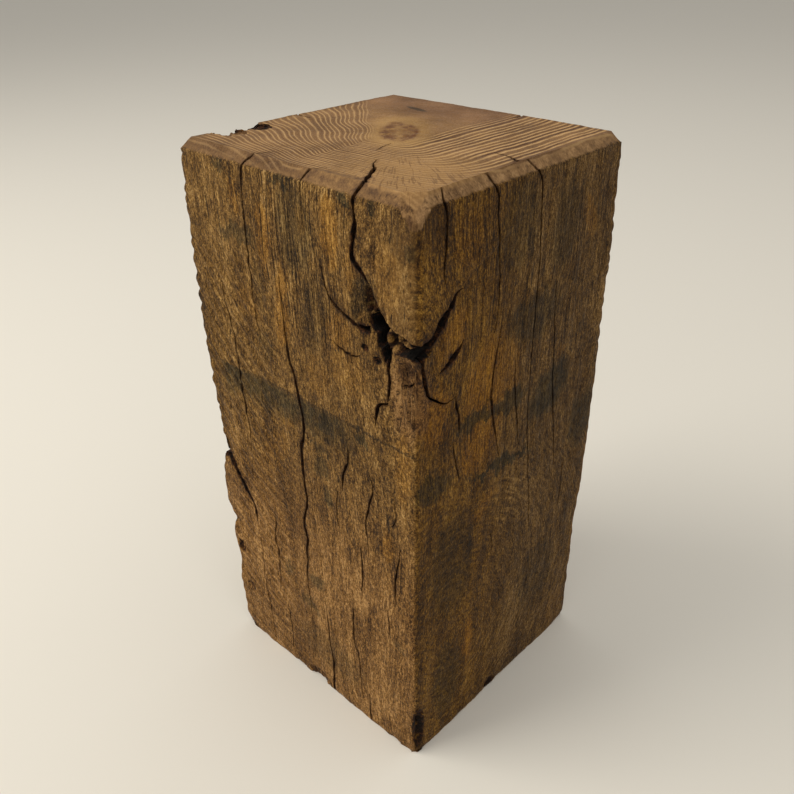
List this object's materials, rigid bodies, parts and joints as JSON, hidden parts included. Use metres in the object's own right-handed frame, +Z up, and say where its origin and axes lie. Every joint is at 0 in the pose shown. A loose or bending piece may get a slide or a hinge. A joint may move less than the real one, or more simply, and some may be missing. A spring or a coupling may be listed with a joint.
{
  "type": "square timber block",
  "caption": "Short free-standing length of reclaimed square-sawn timber with a bevelled top end, drying checks, worn arrises and a rotted knot.",
  "frame": {"origin": "centre of the sawn base", "axes": "+Z up along the grain; -Y out of the face with the long centre check, +X out of the face to its right"},
  "size_m": [0.142, 0.138, 0.295],
  "materials": {
    "weathered_timber": "bare sawn wood, dark with age"
  },
  "bodies": {
    "root": {"timber_block": "weathered_timber"}
  },
  "joints": []
}
